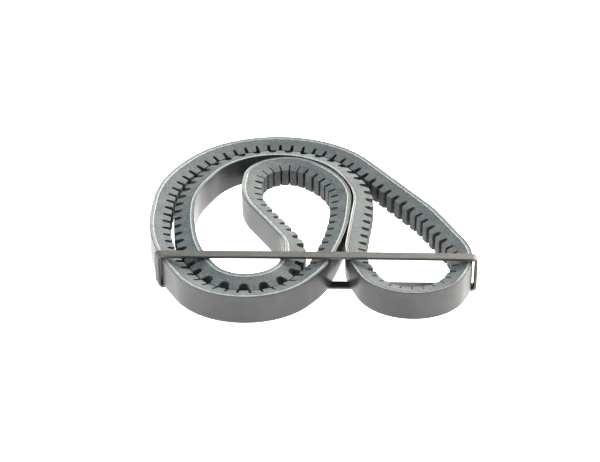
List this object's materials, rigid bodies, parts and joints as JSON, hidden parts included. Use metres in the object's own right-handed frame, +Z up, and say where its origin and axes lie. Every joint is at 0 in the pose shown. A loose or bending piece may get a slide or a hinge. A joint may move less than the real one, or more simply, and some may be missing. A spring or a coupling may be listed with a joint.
{
  "type": "v belt",
  "caption": "Raw-edge cogged V-belt, an endless loop folded for storage and held by a flat rubber band.",
  "frame": {"origin": "centre of the folded bundle's footprint, on the surface it stands on", "axes": "+Z up, across the belt's width; +X along the stretched band, from the large coil to the small one; -Y the way the band pulls off"},
  "size_m": [0.1423, 0.1427, 0.0162],
  "materials": {
    "cover_ply": "satin",
    "cord_rubber": "matt",
    "fibre_rubber": "matt, with cut fibres showing",
    "tension_cord": "twisted cord, dipped",
    "elastic_band": "satin, with fine lines along its length"
  },
  "bodies": {
    "belt": {"back_cover_outer_ply": "cover_ply", "back_cover_inner_ply": "cover_ply", "cushion_rubber": "cord_rubber", "adhesion_rubber": "cord_rubber", "compression_body": "fibre_rubber", "tension_cord_turn_01": "tension_cord", "tension_cord_turn_02": "tension_cord", "tension_cord_turn_03": "tension_cord", "tension_cord_turn_04": "tension_cord", "tension_cord_turn_05": "tension_cord", "tension_cord_turn_06": "tension_cord", "tension_cord_turn_07": "tension_cord", "tension_cord_turn_08": "tension_cord", "tension_cord_turn_09": "tension_cord", "tension_cord_turn_10": "tension_cord"},
    "band": {"retaining_band": "elastic_band"}
  },
  "joints": [
    {"name": "band_slide", "type": "slide", "parent": "belt", "child": "band", "axis": [0, -0.9999, 0.014], "range_m": [0, 0.04]}
  ]
}
